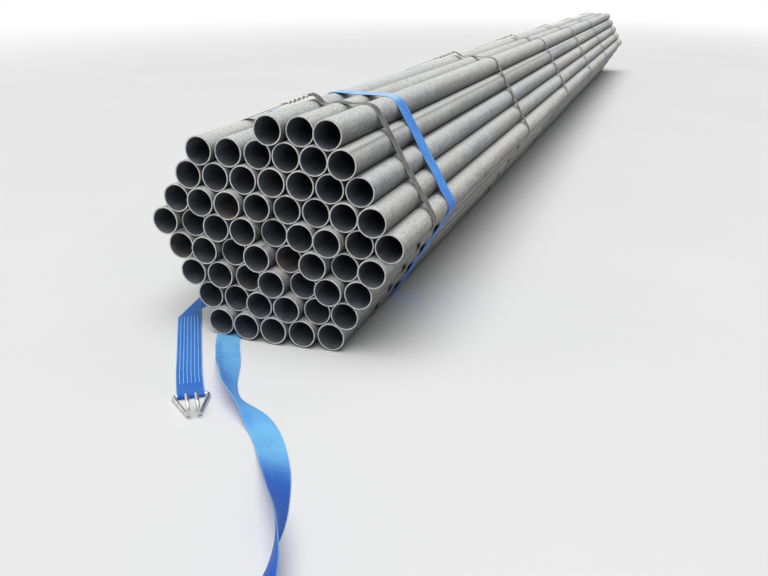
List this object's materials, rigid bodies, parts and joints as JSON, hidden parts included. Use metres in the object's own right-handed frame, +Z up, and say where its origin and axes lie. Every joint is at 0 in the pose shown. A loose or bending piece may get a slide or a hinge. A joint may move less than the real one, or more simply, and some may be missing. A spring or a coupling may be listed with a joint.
{
  "type": "stack of steel tubes",
  "caption": "Six-sided pack of long round steel tubes, held by crimped steel straps and wrapped once with a webbing strap that has a wire hook at one end.",
  "frame": {"origin": "middle of the pack's box on the floor that it lies on, leaving out the loose webbing ends and their hook", "axes": "+Z up; Y runs along the tubes, with the front ends and the webbing at -Y; X runs across the rows"},
  "size_m": [0.687, 6.7396, 0.489],
  "materials": {
    "tube_steel": "mill scale, thinly oiled, with pale tops and dark undersides",
    "strap_steel": "dull grey-brown steel strap",
    "seal_steel": "pale zinc-coated sheet, crimped",
    "webbing": "woven polyester, slightly glossy",
    "zinc": "bright zinc-plated wire"
  },
  "bodies": {
    "root": {"tube_row_1": "tube_steel", "tube_row_2": "tube_steel", "tube_row_3": "tube_steel", "tube_row_4": "tube_steel", "tube_row_5": "tube_steel", "tube_row_6": "tube_steel", "tube_row_7": "tube_steel", "tube_row_8": "tube_steel", "tube_row_9": "tube_steel", "steel_strap_1": "strap_steel", "steel_strap_2": "strap_steel", "steel_strap_3": "strap_steel", "steel_strap_4": "strap_steel", "steel_strap_5": "strap_steel", "steel_strap_6": "strap_steel", "strap_seal_1": "seal_steel", "strap_seal_2": "seal_steel", "strap_seal_3": "seal_steel", "strap_seal_4": "seal_steel", "strap_seal_5": "seal_steel", "strap_seal_6": "seal_steel", "webbing_wrap": "webbing", "webbing_tail": "webbing", "webbing_hook_end": "webbing", "wire_hook": "zinc"}
  },
  "joints": []
}
